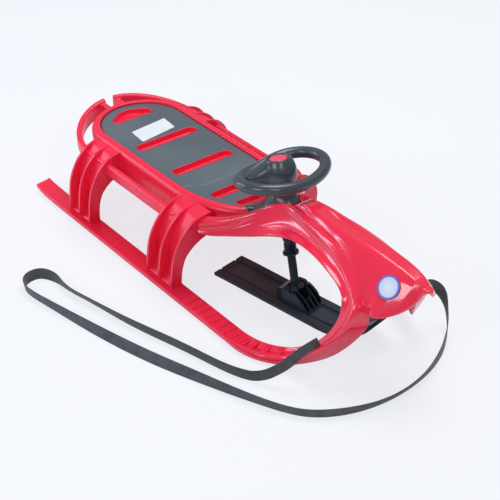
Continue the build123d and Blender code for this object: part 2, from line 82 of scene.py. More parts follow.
def finish(name, tone, rough, clear=0.0, sheen=0.0):
    """A moulded or woven surface: its colour, its roughness and any clear coat or sheen."""
    mat = bpy.data.materials.new(name)
    mat.use_nodes = True
    tree = mat.node_tree
    face = tree.nodes["Principled BSDF"]
    face.inputs["Base Color"].default_value = (*tone, 1)
    face.inputs["Roughness"].default_value = rough
    face.inputs["Coat Weight"].default_value = clear
    face.inputs["Coat Roughness"].default_value = 0.08
    face.inputs["Sheen Weight"].default_value = sheen
    return mat, tree, face


def grain(tree, scale, detail=2.0, stretch=(1, 1, 1)):
    """Noise in the object's own coordinates, stretched along the flow of the plastic."""
    place = tree.nodes.new("ShaderNodeTexCoord")
    shape = tree.nodes.new("ShaderNodeMapping")
    shape.inputs["Scale"].default_value = stretch
    noise = tree.nodes.new("ShaderNodeTexNoise")
    noise.inputs["Scale"].default_value = scale
    noise.inputs["Detail"].default_value = detail
    tree.links.new(place.outputs["Object"], shape.inputs["Vector"])
    tree.links.new(shape.outputs["Vector"], noise.inputs["Vector"])
    return noise.outputs["Fac"]


def tint(tree, face, fac, low, high):
    """Colour that drifts between two close tones."""
    drift = tree.nodes.new("ShaderNodeValToRGB")
    for stop, at, tone in zip(drift.color_ramp.elements, (0.3, 0.7), (low, high)):
        stop.position, stop.color = at, (*tone, 1)
    tree.links.new(fac, drift.inputs["Fac"])
    tree.links.new(drift.outputs["Color"], face.inputs["Base Color"])


def polish(tree, face, fac, low, high):
    """Roughness that drifts between two values."""
    span = tree.nodes.new("ShaderNodeMapRange")
    span.inputs["To Min"].default_value, span.inputs["To Max"].default_value = low, high
    tree.links.new(fac, span.inputs["Value"])
    tree.links.new(span.outputs["Result"], face.inputs["Roughness"])


def relief(tree, face, height, depth, strength):
    """Fine relief of the given depth in metres."""
    bump = tree.nodes.new("ShaderNodeBump")
    bump.inputs["Strength"].default_value = strength
    bump.inputs["Distance"].default_value = depth
    tree.links.new(height, bump.inputs["Height"])
    tree.links.new(bump.outputs["Normal"], face.inputs["Normal"])


def heading(line, i):
    """Which way the line runs at its point i."""
    return line[min(i + 1, len(line) - 1)] - line[max(i - 1, 0)]


def tube(mesh, rings):
    """Faces between each closed ring of points and the next."""
    for a, b in zip(rings, rings[1:]):
        for k in range(len(a)):
            mesh.faces.new((a[k - 1], a[k], b[k], b[k - 1]))


def bar(mesh, rings):
    """A tube with a flat face at each end."""
    tube(mesh, rings)
    mesh.faces.new(rings[0][::-1])
    mesh.faces.new(rings[-1])


def shown(name, mesh):
    """An object in the scene, made from the mesh."""
    data = bpy.data.meshes.new(name)
    mesh.to_mesh(data)
    mesh.free()
    piece = bpy.data.objects.new(name, data)
    bpy.context.scene.collection.objects.link(piece)
    return piece


def smooth(piece):
    """The piece with its faces shaded smooth."""
    for f in piece.data.polygons:
        f.use_smooth = True
    return piece


def strap_lean(line, i):
    """The webbing stands on its edge and rolls a little along its run, most at the front."""
    t = i / (len(line) - 1)
    up = Vector((0, 0, 1))
    side = heading(line, i).cross(up).normalized()
    on_floor = min(1, max(0, (t - LIES_FROM) / SETTLE)) * min(1, max(0, (LIES_TO - t) / SETTLE))
    slow, quick = 0.38 * math.sin(21 * t + 0.6), 0.16 * math.sin(47 * t)
    front = 0.62 * math.exp(-((t - 0.76) / 0.05) ** 2)
    roll = slow + quick + front
    return up * math.cos(roll * on_floor) + side * math.sin(roll * on_floor)


webbing, tree, face = finish("webbing", (0.055, 0.062, 0.070), 0.75, sheen=0.25)
tint(tree, face, grain(tree, 60), (0.045, 0.052, 0.060), (0.075, 0.084, 0.094))
relief(tree, face, grain(tree, 900, 1.0), 0.0006, 0.6)

strap_line = bpy.data.curves.new("strap_line", "CURVE")
strap_line.dimensions = "3D"
spline = strap_line.splines.new("NURBS")
spline.points.add(len(STRAP_ROUTE) - 1)
for point, (x, y, z) in zip(spline.points, STRAP_ROUTE):
    point.co = (x - DRAWN_BEHIND / 1000, y, z, 1)
spline.order_u, spline.resolution_u, spline.use_endpoint_u = 3, 12, True
guide = bpy.data.objects.new("strap_guide", strap_line)
bpy.context.scene.collection.objects.link(guide)
line_mesh = bpy.data.meshes.new_from_object(guide)
strap_path = [v.co.copy() for v in line_mesh.vertices]
bpy.data.objects.remove(guide)

mesh = bmesh.new()
rings = []
for i, p in enumerate(strap_path):
    run = heading(strap_path, i).normalized()
    across = strap_lean(strap_path, i)
    across = (across - run * across.dot(run)).normalized()
    up = run.cross(across).normalized()
    ring = [p + across * (STRAP_WIDTH / 2 * u) + up * (STRAP_THICK / 2 * w) for u, w in SELVEDGE]
    lift = max(FLOOR_GAP - min(q.z for q in ring), 0)
    rings.append([mesh.verts.new(q + Vector((0, 0, lift))) for q in ring])
bar(mesh, rings)
bmesh.ops.recalc_face_normals(mesh, faces=mesh.faces)
strap = smooth(shown("pull_strap_webbing", mesh))
strap.data.materials.append(webbing)
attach(strap, "sled")
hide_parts("pull_strap")

# ------------------------------------------------------------------------------------------
# Deck and grip rails: the middle of the red body, one hollow moulding in polyethylene. Its
# parts are welded and rounded, and the seats of the slots are let down to the tray.
SEAT_HALF, SEAT_BACK, SEAT_FRONT, SEAT_NOSE = 0.086, -0.3235, -0.0885, 0.150
TRAY_Z, TRAY_RIM = 0.1535, 0.003
deck_nodes = ["deck", "grip_rail_left", "grip_rail_right"]


def red_plastic(name, rough_low, rough_high):
    """The body's red, through and through, faintly uneven in tone and polish."""
    mat, tree, face = finish(name, (0.90, 0.020, 0.066), rough_low)
    tint(tree, face, grain(tree, 5), (0.88, 0.016, 0.058), (0.92, 0.025, 0.078))
    polish(tree, face, grain(tree, 35, 3.0), rough_low, rough_high)
    relief(tree, face, grain(tree, 420, 2.0), 0.00006, 0.3)
    return mat


def gathered(nodes, shape=None):
    """Copies of the frame's parts in one mesh; shape moves their points."""
    mesh = bmesh.new()
    for node in nodes:
        mesh.from_mesh(bpy.data.objects[node].data)
    if shape:
        for v in mesh.verts:
            v.co = shape(v.co)
    return mesh


def settled(piece):
    """The piece with its modifiers made final and its faces smooth."""
    bpy.context.view_layer.update()
    graph = bpy.context.evaluated_depsgraph_get()
    done = bpy.data.meshes.new_from_object(piece.evaluated_get(graph))
    kept = [slot.material for slot in piece.material_slots]
    piece.modifiers.clear()
    piece.data = done
    piece.data.materials.clear()
    for material in kept:
        piece.data.materials.append(material)
    return smooth(piece)


def moulded(piece, voxel, rounds, limit, material):
    """Weld the piece into one skin with soft radii, thinned to at most 'limit' triangles."""
    weld = piece.modifiers.new("weld", "REMESH")
    weld.mode, weld.voxel_size, weld.use_smooth_shade = "VOXEL", voxel, True
    soften = piece.modifiers.new("soften", "SMOOTH")
    soften.factor, soften.iterations = 0.5, rounds
    piece.data.materials.append(material)
    settled(piece)
    count = sum(len(f.vertices) - 2 for f in piece.data.polygons)
    if count > limit:
        fine = piece.copy()
        bpy.context.scene.collection.objects.link(fine)
        thin = piece.modifiers.new("thin", "DECIMATE")
        thin.ratio = limit / count
        shade = piece.modifiers.new("shade", "DATA_TRANSFER")
        shade.object, shade.use_loop_data = fine, True
        shade.data_types_loops, shade.loop_mapping = {"CUSTOM_NORMAL"}, "POLYINTERP_NEAREST"
        settled(piece)
        bpy.data.objects.remove(fine)
    return piece


def inside_seat(x, y, grow):
    """Whether a place is inside the seat's plan, made larger by 'grow'."""
    half = SEAT_HALF + grow
    run = max(SEAT_BACK - x, 0) / half + max(x - SEAT_FRONT, 0) / (SEAT_NOSE + grow)
    return run ** 2 + (y / half) ** 2 < 1


def tray_down(p):
    """A point of the deck, let down to the tray if it is above it inside the seat."""
    raised = p.z > TRAY_Z and inside_seat(p.x, p.y, -TRAY_RIM)
    return Vector((p.x, p.y, TRAY_Z)) if raised else p


red_satin = red_plastic("red_satin", 0.24, 0.34)
deck = moulded(shown("deck_shell", gathered(deck_nodes, tray_down)), voxel=0.0015, rounds=5,
               limit=190000, material=red_satin)
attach(deck, "sled")
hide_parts(*deck_nodes)

# ------------------------------------------------------------------------------------------
# Legs: four, part of the red moulding. Each is three thin fins on a thin web; they stand on
# the runner, lean forward and straighten as they curl in to the deck.

# fins and webs in cross-section: out from the middle, and up
FIN_EDGE = [(0.162, 0.0135), (0.165, 0.040), (0.167, 0.078), (0.1645, 0.104), (0.157, 0.126),
            (0.147, 0.143), (0.134, 0.156), (0.116, 0.164), (0.100, 0.1665), (0.090, 0.165)]
FIN_BACK = [(0.1385, 0.0135), (0.141, 0.030), (0.1425, 0.052), (0.140, 0.076), (0.133, 0.091),
            (0.121, 0.104), (0.109, 0.112), (0.102, 0.115), (0.097, 0.117), (0.090, 0.118)]
WEB_EDGE = [(0.160, 0.0135), (0.149, 0.024), (0.1445, 0.045), (0.1450, 0.075), (0.1460, 0.100),
            (0.1435, 0.120), (0.1370, 0.138), (0.1275, 0.1515), (0.114, 0.1625), (0.092, 0.1660)]
WEB_BACK = [(0.1385, 0.0135), (0.140, 0.024), (0.1405, 0.045), (0.1412, 0.075), (0.1405, 0.096),
            (0.1375, 0.114), (0.1310, 0.131), (0.121, 0.145), (0.109, 0.156), (0.090, 0.160)]
# how far forward a leg has leant at a height: up, and forward
LEAN = [(0.014, 0.0), (0.050, 0.0095), (0.088, 0.019), (0.114, 0.025), (0.137, 0.0285),
        (0.152, 0.031), (0.170, 0.0315)]
REAR_FINS, MIDDLE_FINS = (-0.3595, -0.3250, -0.2880), (-0.0880, -0.0505, -0.0115)
FIN_THICK, LEG_STEPS, LEG_RADIUS = 0.0055, 44, 0.0008
MOULDED_EDGE, CUT_RIM = 35, 50          # degrees by which an edge turns before it is rounded
leg_nodes = [f"{n}_{s}" for n in ("rear_leg", "middle_leg") for s in ("left", "right")]


def flow(points, count):
    """Smooth curve through the points, in 'count' even steps of its own parameter."""
    points = [Vector(p) for p in points]
    full = [2 * points[0] - points[1]] + points + [2 * points[-1] - points[-2]]
    out = []
    for i in range(count + 1):
        u = i / count * (len(points) - 1)
        k = min(int(u), len(points) - 2)
        t = u - k
        a, b, c, d = full[k:k + 4]
        out.append(0.5 * (2 * b + (c - a) * t + (2 * a - 5 * b + 4 * c - d) * t * t
                          + (3 * b - 3 * c + d - a) * t ** 3))
    return out


def lean_at(z):
    """How far forward the legs have leant at a height."""
    for (z0, x0), (z1, x1) in zip(LEAN, LEAN[1:]):
        if z < z1:
            return x0 + (x1 - x0) * max(z - z0, 0) / (z1 - z0)
    return LEAN[-1][1]


def slab(mesh, edge, back, x0, x1, side):
    """Upright slab between two curves of the cross-section, following the leg's lean."""
    edge, back = (flow([(*p, 0) for p in line], LEG_STEPS) for line in (edge, back))
    rings = []
    for (y0, z0, _), (y1, z1, _) in zip(edge, back):
        corners = ((x0, y0, z0), (x1, y0, z0), (x1, y1, z1), (x0, y1, z1))
        rings.append([mesh.verts.new((x + lean_at(z), side * y, z)) for x, y, z in corners])
    bar(mesh, rings)


def broken(piece, radius, angle):
    """Break the edges that turn by more than an angle in degrees with a small radius."""
    edge = piece.modifiers.new("edge", "BEVEL")
    edge.width, edge.segments = radius, 2
    edge.limit_method, edge.angle_limit = "ANGLE", math.radians(angle)


def made(name, mesh, material, radius=0.0):
    """An object from the mesh, its sharp edges rounded and its flats kept flat."""
    bmesh.ops.recalc_face_normals(mesh, faces=mesh.faces)
    piece = smooth(shown(name, mesh))
    piece.data.materials.append(material)
    if radius:
        broken(piece, radius, MOULDED_EDGE)
    piece.modifiers.new("flats", "WEIGHTED_NORMAL").keep_sharp = True
    return settled(piece)


mesh = bmesh.new()
for side in (-1, 1):
    for fins in (REAR_FINS, MIDDLE_FINS):
        for x in fins:
            slab(mesh, FIN_EDGE, FIN_BACK, x - FIN_THICK / 2, x + FIN_THICK / 2, side)
        slab(mesh, WEB_EDGE, WEB_BACK, fins[0], fins[-1], side)
legs = made("legs", mesh, red_satin, LEG_RADIUS)
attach(legs, "sled")
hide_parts(*leg_nodes)

# ------------------------------------------------------------------------------------------
# Runners: the long flat soles of the red body, notched at the tail. Their tops are made plain
# in front of the middle legs, where the treads lie on them.
SOLE_TOP, PLAIN_FROM, PLAIN_OVER = 0.014, 0.030, 0.0125
RUNNER_RADIUS, WELD_GAP, FLAT_TURN = 0.0006, 1e-5, math.radians(1.5)


def plain_top(p):
    """A point of the runner, let down to its flat top in front."""
    raised = p.x > PLAIN_FROM and p.z > PLAIN_OVER
    return Vector((p.x, p.y, SOLE_TOP)) if raised else p


mesh = gathered(["runner_left", "runner_right"], plain_top)
bmesh.ops.remove_doubles(mesh, verts=mesh.verts, dist=WELD_GAP)
bmesh.ops.dissolve_limit(mesh, angle_limit=FLAT_TURN, verts=mesh.verts, edges=mesh.edges)
runners = made("runners", mesh, red_satin, RUNNER_RADIUS)
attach(runners, "sled")
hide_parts("runner_left", "runner_right")

# ------------------------------------------------------------------------------------------
# Arches and skirts: one folded band on each side, part of the red body. It leaves the runner,
# twists as it climbs the arch, runs back under the bonnet and swings out to the middle leg.

# its two rims and the fold between them, on the drawing in millimetres
BAND_EDGE = [(165, 138.6, 13.2), (205, 137, 13.8), (230, 129, 14), (262, 114, 18), (290, 107, 33),
             (315, 100, 52), (337, 93, 76), (351, 86, 102), (357, 80, 126), (356, 76, 144),
             (350, 72, 158), (336, 68, 168), (312, 64, 174), (275, 57, 180), (235, 51, 181),
             (200, 50, 178), (178, 53, 174), (152, 59, 166), (124, 69, 154), (98, 84, 147),
             (74, 95, 140), (50, 106, 132), (30, 115, 128), (8, 124, 133)]
BAND_CREASE = [(165, 172.4, 13.2), (205, 171.5, 13.8), (240, 158.5, 14), (276, 138, 17),
               (305, 131, 34), (334, 122, 58), (360, 112, 84), (376, 101, 110), (384, 88, 134),
               (384, 78, 151), (375, 68, 163), (357, 57, 175), (322, 46, 188), (279, 36, 203),
               (235, 30, 208), (190, 25, 212), (152, 20, 216), (132, 29, 207), (112, 41, 192),
               (95, 56, 179), (79, 75, 171), (60, 94, 162.5), (34, 111, 153), (8, 124, 144)]
BAND_OUTER = [(165, 169, 7.2), (206, 171, 5.4), (243, 160.5, 4.4), (277, 142.5, 7),
              (303, 130, 20), (327, 111, 31), (354, 87, 48), (370, 70, 74), (386, 56, 99),
              (394, 52, 124), (391, 49, 144), (368, 42, 173), (338, 38, 200), (290, 30, 211),
              (240, 24, 212), (195, 20, 212), (152, 14, 208), (128, 24.5, 205),
              (109.5, 37, 191.5), (92, 52.5, 178.5), (76.5, 70.5, 171), (57, 87.5, 164),
              (31, 100, 158.5), (2, 111, 153)]
BAND_BOWS = (0.0072, -0.0008)           # hollow of the top face, swell of the outer one
BAND_WALL, BAND_RADIUS = 0.0038, 0.0007
RUN_STEPS, SIDE_STEPS, EASE_ROUNDS = 220, 9, 70


def spot(x, y, z):
    """A place on the drawing in millimetres, as the same place on the sled in metres."""
    return Vector((x - DRAWN_BEHIND, y, z)) / 1000


def relaxed(line):
    """The line with each inner point drawn halfway to the middle of its neighbours."""
    inner = [(p + 2 * q + r) / 4 for p, q, r in zip(line, line[1:], line[2:])]
    return [line[0]] + inner + [line[-1]]


def band_line(row, side):
    """A rim or fold of the band on one side, with its small wobbles taken out."""
    line = flow([spot(x, side * y, z) for x, y, z in row], RUN_STEPS)
    for _ in range(EASE_ROUNDS):
        line = relaxed(line)
    return line


def sheet(mesh, grid, flipped=False):
    """Faces over an open grid of points."""
    for a, b in zip(grid, grid[1:]):
        for k in range(len(a) - 1):
            i, j = (k + 1, k) if flipped else (k, k + 1)
            mesh.faces.new((a[i], a[j], b[j], b[i]))


def skin(mesh, rows, bows, side):
    """Smooth sheet over long rows of points. Between neighbours it bows by a depth in metres."""
    lines = [band_line(row, side) for row in rows]
    grid = []
    for i in range(RUN_STEPS + 1):
        across = []
        for low, high, bow in zip(lines, lines[1:], bows):
            out = (high[i] - low[i]).cross(heading(low, i)).normalized() * side
            most = 0.2 * (high[i] - low[i]).length
            depth = max(min(bow, most), -most)
            for k in range(SIDE_STEPS):
                t = k / SIDE_STEPS
                across.append(low[i].lerp(high[i], t) + out * (4 * t * (1 - t) * depth))
        across.append(lines[-1][i])
        grid.append([mesh.verts.new(p) for p in relaxed(across)])
    sheet(mesh, grid, flipped=side < 0)


def walled(name, mesh, wall, radius, material):
    """The sheet given its wall thickness on the inner side, with its rims rounded."""
    piece = shown(name, mesh)
    piece.data.materials.append(material)
    thick = piece.modifiers.new("wall", "SOLIDIFY")
    thick.thickness, thick.offset = wall, -1.0
    broken(piece, radius, CUT_RIM)
    return settled(piece)


red_gloss = red_plastic("red_gloss", 0.12, 0.20)
shine = red_gloss.node_tree.nodes["Principled BSDF"]
shine.inputs["Coat Weight"].default_value = 0.6
shine.inputs["Coat Roughness"].default_value = 0.05
mesh = bmesh.new()
for side in (-1, 1):
    skin(mesh, [BAND_EDGE, BAND_CREASE, BAND_OUTER], BAND_BOWS, side)
bands = walled("nose_bands", mesh, BAND_WALL, BAND_RADIUS, red_gloss)
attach(bands, "sled")
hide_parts(*[f"{n}_{s}" for n in ("arch", "skirt") for s in ("left", "right")])

# ------------------------------------------------------------------------------------------
# Treads: low ribs across the front of each runner and the foot of its arch, moulded with them,
# where the driver's feet rest.
TREAD_STEP, TREAD_HIGH, TREAD_INSET, TREAD_RADIUS = 0.0185, 0.0021, 0.0025, 0.0004
TREAD_FIRST, TREADS_FLAT = 0.047, 9     # place of the first one, how many lie on the flat
TREAD_NEAR, TREAD_FAR = 0.1385, 0.1720  # the runner's two edges
ARCH_TREADS = (15, 22, 29)              # steps of the band that carry one


def tread(mesh, p, q, slope=0.75):
    """A wedge from p to q that rises forwards and drops off sharply."""
    along_it = (q - p).normalized()
    up = Vector((0, 0, 1))
    up = (up - along_it * up.dot(along_it)).normalized()
    run = along_it.cross(up)
    run = run if run.x > 0 else -run
    wedge = ((-TREAD_STEP * slope, -0.001), (-TREAD_STEP * slope, 0.0001),
             (-0.0008, TREAD_HIGH), (0.0003, TREAD_HIGH), (0.0010, -0.001))
    bar(mesh, [[mesh.verts.new(end + run * w + up * h) for w, h in wedge]
               for end in (p + along_it * TREAD_INSET, q - along_it * TREAD_INSET)])


mesh = bmesh.new()
for side in (-1, 1):
    for k in range(TREADS_FLAT):
        x = TREAD_FIRST + TREAD_STEP * k
        near, far = (Vector((x, side * y, SOLE_TOP)) for y in (TREAD_NEAR, TREAD_FAR))
        tread(mesh, near, far)
    inner, outer = band_line(BAND_EDGE, side), band_line(BAND_CREASE, side)
    for step in ARCH_TREADS:
        tread(mesh, inner[step], outer[step], 0.5)
treads = made("treads", mesh, red_satin, TREAD_RADIUS)
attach(treads, "sled")

# ------------------------------------------------------------------------------------------
# Bonnet: the shield between the bands, part of the red body. It has a narrow flat top with a
# sunk stripe, bowed faces, a lobe at each side and a pointed tip.

# its top edge, its lower edge and the ledge under that, on the drawing in millimetres
TIP = 478
RIDGE = [(146, 13, 203), (172, 13, 223), (205, 13, 230), (365, 13, 227), (417, 12, 223),
         (440, 11, 218), (454, 9.5, 213), (466, 7, 208), (474, 5, 208), (TIP, 0.8, 209)]
SHIELD_EDGE = [(146, 15, 201), (172, 18, 207), (211, 22, 211), (256, 27, 212), (290, 31, 212),
               (331, 38, 203), (352, 42, 192), (372, 47, 178), (392, 56, 162), (409, 64, 150),
               (422, 61, 151), (434, 53, 157), (446, 43, 165.5), (455.5, 30, 174.5),
               (461.5, 19, 186), (465, 10, 197), (474, 3.5, 203), (TIP, 0.6, 206.5)]
LEDGE = [(146, 13, 197), (172, 16, 202), (235, 23, 203), (279, 31, 200), (322, 42, 188),
         (357, 53, 173), (375, 61, 160), (386, 63, 151), (409, 58, 145)]
STRIPE_BACK, STRIPE_FRONT, STRIPE_DEEP = (222, 232), (300, 312), 2.6
FACE_LINES = (0, 0.2, 0.4, 0.6, 0.8, 1)     # shares of the way up the face
TOP_LINES = ((0.72, 0.1), (0.62, 0.55), (0.52, 1), (0.25, 1), (0, 1))   # way out, share of dip
FACE_BOW, SHIELD_STEPS, SHIELD_WALL, SHIELD_RADIUS = 4.0, 260, 0.0026, 0.0009


def along(table, x):
    """How far out and how high a line of the drawing is at a place along the sled."""
    for (x0, y0, z0), (x1, y1, z1) in zip(table, table[1:]):
        if x <= x1:
            t = max(x - x0, 0) / (x1 - x0)
            return y0 + (y1 - y0) * t, z0 + (z1 - z0) * t
    return table[-1][1:]


def ramp(v, low, high):
    """A soft step from 0 at 'low' to 1 at 'high'."""
    t = min(max((v - low) / (high - low), 0), 1)
    return t * t * (3 - 2 * t)


def shield_rows():
    """Lines from back to tip on one side: the ledge, six up the face, five over the stripe."""
    rows = [[] for _ in range(12)]
    for x, ye, ze in SHIELD_EDGE:
        yr, zr = along(RIDGE, x)
        puff = FACE_BOW * ramp(TIP - x, 0, 60) * ramp(x, 140, 220)
        if x <= LEDGE[-1][0]:
            yl, zl = along(LEDGE, x)
        else:
            yl, zl = max(ye - 5, 0.4), ze - 1 - 1.5 * ramp(TIP - x, 0, 40)
        rows[0].append((x, yl, zl))
        for row, t in zip(rows[1:7], FACE_LINES):
            bow = 4 * t * (1 - t) * puff
            row.append((x, ye + (yr - ye) * t + bow * 0.6, ze + (zr - ze) * t + bow * 0.5))
        sunk = STRIPE_DEEP * ramp(x, *STRIPE_BACK) * (1 - ramp(x, *STRIPE_FRONT))
        for row, (share, drop) in zip(rows[7:], TOP_LINES):
            row.append((x, yr * share, zr - sunk * drop))
    return rows


half = [flow([spot(*p) for p in row], SHIELD_STEPS) for row in shield_rows()]
lines = half + [[Vector((p.x, -p.y, p.z)) for p in row] for row in half[-2::-1]]
mesh = bmesh.new()
sheet(mesh, [[mesh.verts.new(line[i]) for line in lines] for i in range(SHIELD_STEPS + 1)])
bonnet = walled("bonnet_shield", mesh, SHIELD_WALL, SHIELD_RADIUS, red_gloss)
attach(bonnet, "sled")
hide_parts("bonnet")

# ------------------------------------------------------------------------------------------
# Slot cups: the five red wells that show through the slots of the seat, each a thin lip round
# a floor that is part of the tray. Two of them curve with the ends of the seat.

# straight slots: place along the sled, half their length, width
STRAIGHT_SLOTS = [(-0.2445, 0.0690, 0.0255), (-0.1275, 0.0675, 0.0245), (-0.0150, 0.0620, 0.0250)]
# curved slots: back and front on the centre line, half their length, bow of back and front
CURVED_SLOTS = [(-0.3925, -0.3545, 0.0445, 0.024, 0.003),
                (0.0265, 0.0520, 0.0420, -0.005, -0.016)]
CURVED_END, STRAIGHT_STEPS, CURVED_STEPS, END_STEPS = 0.0085, 12, 16, 8
# a cup from its outside over its lip to its floor: in from the outline, and up
CUP_WALL = [(0.0, TRAY_Z - 0.001), (0.0, 0.1655), (0.0006, 0.1663), (0.0013, 0.1663),
            (0.0019, 0.1655), (0.0022, 0.1620), (0.0025, 0.1570), (0.0034, 0.1542)]
CREASE, PAD_RISE = -0.0600, math.tan(math.radians(1.4))     # the seat rises ahead of its crease


def straight_slot(x, half, width):
    """Outline with round ends, long side across the seat."""
    r, line = width / 2, []
    for side in (1, -1):
        for i in range(STRAIGHT_STEPS + 1):
            a = math.pi * i / STRAIGHT_STEPS
            line.append((x + side * r * math.cos(a), side * (half - r + r * math.sin(a))))
    return line


def curved_slot(back, front, half, bow_back, bow_front):
    """Outline between two arcs: 'back' and 'front' are where they cross the centre line."""
    reach = half - CURVED_END

    def arc(x, bow, way):
        shares = [way * (1 - 2 * i / CURVED_STEPS) for i in range(CURVED_STEPS + 1)]
        return [(x + bow * (reach * t) ** 2 / half ** 2, reach * t) for t in shares]

    def end(a, b, side):
        mid, r = Vector(((a[0] + b[0]) / 2, (a[1] + b[1]) / 2)), (Vector(b) - Vector(a)) / 2
        angles = [math.pi * i / END_STEPS for i in range(1, END_STEPS)]
        return [tuple(mid - r * math.cos(t) + Vector((0, side)) * CURVED_END * math.sin(t))
                for t in angles]

    behind, before = arc(back, bow_back, 1), arc(front, bow_front, -1)
    return behind + end(behind[-1], before[0], -1) + before + end(before[-1], behind[0], 1)


def inset(line, d):
    """The closed outline moved inwards by d."""
    area = sum(a[0] * b[1] - b[0] * a[1] for a, b in zip(line, line[1:] + line[:1]))
    turn = 1 if area > 0 else -1
    out = []
    for i, p in enumerate(line):
        run = Vector(line[(i + 1) % len(line)]) - Vector(line[i - 1])
        out.append((p[0] - turn * run.y / run.length * d, p[1] + turn * run.x / run.length * d))
    return out


def pad_height(x):
    """How much the seat has risen at a place along it."""
    return max(x - CREASE, 0) * PAD_RISE


def ringed(mesh, line, steps):
    """Rows of points round an outline, each moved in and set at a height over the pad's lie."""
    rows = []
    for d, z in steps:
        rows.append([mesh.verts.new((x, y, z + pad_height(x))) for x, y in inset(line, d)])
    for a, b in zip(rows, rows[1:]):
        for k in range(len(a)):
            mesh.faces.new((a[k], a[k - 1], b[k - 1], b[k]))
    return rows


slot_lines = [straight_slot(*s) for s in STRAIGHT_SLOTS] + [curved_slot(*s) for s in CURVED_SLOTS]
mesh = bmesh.new()
for line in slot_lines:
    rows = ringed(mesh, line, CUP_WALL)
    mesh.faces.new(rows[-1])
    mesh.faces.new(rows[0][::-1])
cups = made("slot_cups", mesh, red_satin)
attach(cups, "sled")

# ------------------------------------------------------------------------------------------
# Seat pad: a flat grey insert of matt plastic, clipped into the tray round the five cups. It
# has a narrow fold line across it and rises gently from there to its front end.
PAD_TOP, PAD_GAP, SLOT_GAP, SEAT_STEPS = 0.166, 0.0017, 0.0003, 120
FOLD_DEEP, FOLD_HALF, LEVEL = 0.0011, 0.0018, 0.00005
# the pad's edge from the tray to its top: in from its outline, and up
PAD_EDGE = [(0.0, TRAY_Z), (0.0, PAD_TOP - 0.0008), (0.0003, PAD_TOP - 0.0002), (0.0009, PAD_TOP)]
# cuts that give the pad points to bend at: closer together across the fold, in millimetres
FOLD_CUTS, LONG_CUTS, FOLD_ZONE = (-82, *range(-80, -52), -50), range(-84, 76, 4), (-0.083, -0.049)


def turns(count):
    """Angles that divide a full turn evenly."""
    return [2 * math.pi * i / count for i in range(count)]


def seat_outline(grow):
    """Plan of the seat: round behind, straight sides, half an ellipse in front."""
    line = []
    for a in turns(SEAT_STEPS):
        r = SEAT_HALF + grow
        if math.cos(a) >= 0:
            line.append((SEAT_FRONT + (SEAT_NOSE + grow) * math.cos(a), r * math.sin(a)))
        else:
            line.append((SEAT_BACK + r * math.cos(a), r * math.sin(a)))
    return line


def pad_groove(x, y):
    """Depth of the fold line, which bends back at the seat's right side."""
    fold = CREASE + 0.003 - 0.0175 * ramp(-y, 0.040, 0.078)
    dip = FOLD_DEEP * math.exp(-((x - fold) / FOLD_HALF) ** 2)
    return dip * ramp(y, -0.086, -0.076) * (1 - ramp(y, 0.050, 0.072))


grey, tree, face = finish("seat_grey", (0.095, 0.125, 0.145), 0.46)
tint(tree, face, grain(tree, 5), (0.080, 0.106, 0.124), (0.125, 0.160, 0.182))
polish(tree, face, grain(tree, 60, 3.0), 0.40, 0.54)
relief(tree, face, grain(tree, 500, 2.0), 0.0002, 0.6)

mesh = bmesh.new()
borders = []
outlines = [(seat_outline(-PAD_GAP), 1)] + [(inset(line, -SLOT_GAP), -1) for line in slot_lines]
for line, side in outlines:
    rows = ringed(mesh, line, [(d * side, z) for d, z in PAD_EDGE])
    borders.append((rows[0], rows[-1]))
for level in (0, 1):
    edges = []
    for pair in borders:
        ring = pair[level]
        edges += [mesh.edges.get((ring[k], ring[k - 1])) for k in range(len(ring))]
    bmesh.ops.triangle_fill(mesh, use_beauty=True, use_dissolve=False, edges=edges)
rims = {v for pair in borders for v in pair[1]}
lid = [f for f in mesh.faces if all(v in rims for v in f.verts)]
cuts = [(Vector((x / 1000, 0, 0)), Vector((1, 0, 0))) for x in FOLD_CUTS]
cuts += [(Vector((0, y / 1000, 0)), Vector((0, 1, 0))) for y in LONG_CUTS]
for through, square_to in cuts:
    near = [f for f in lid if f.is_valid
            and (square_to.x or FOLD_ZONE[0] < f.calc_center_median().x < FOLD_ZONE[1])]
    parts = near + list({e for f in near for e in f.edges})
    parts += list({v for f in near for v in f.verts})
    bmesh.ops.bisect_plane(mesh, geom=parts, plane_co=through, plane_no=square_to)
    lid = [f for f in mesh.faces
           if f.normal.z > 0.9 or f.calc_center_median().z > PAD_TOP - LEVEL]
for v in mesh.verts:
    if v.co.z > PAD_TOP - LEVEL and v not in rims:
        v.co.z = PAD_TOP + pad_height(v.co.x) - pad_groove(v.co.x, v.co.y)
pad = made("seat_insert", mesh, grey)
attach(pad, "sled")
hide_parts("seat_pad")

# ------------------------------------------------------------------------------------------
# Label: a thin white sticker with rounded corners behind the rear straight slot, stuck on the
# pad a little askew. It is left bare.
LABEL_CORNERS = [(-0.3075, -0.0400), (-0.3165, 0.0430), (-0.2735, 0.0390), (-0.2625, -0.0440)]
LABEL_TOP, LABEL_BACK, LABEL_ROUND = 0.16625, 0.1655, 0.002

paper, tree, face = finish("label_white", (0.80, 0.84, 0.86), 0.35)
tint(tree, face, grain(tree, 30), (0.76, 0.81, 0.84), (0.84, 0.88, 0.90))
polish(tree, face, grain(tree, 200, 2.0), 0.28, 0.42)
corners = [Vector(c) for c in LABEL_CORNERS]
rim = []
for k, c in enumerate(corners):
    a, b = (corners[k - 1] - c).normalized(), (corners[(k + 1) % 4] - c).normalized()
    for t in (0, 0.33, 0.67, 1):
        rim.append(c + (a * (1 - t) ** 2 + b * t ** 2) * LABEL_ROUND)
mesh = bmesh.new()
bar(mesh, [[mesh.verts.new((p.x, p.y, z)) for p in rim] for z in (LABEL_TOP, LABEL_BACK)])
label = made("blank_label", mesh, paper)
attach(label, "sled")
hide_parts("seat_label")

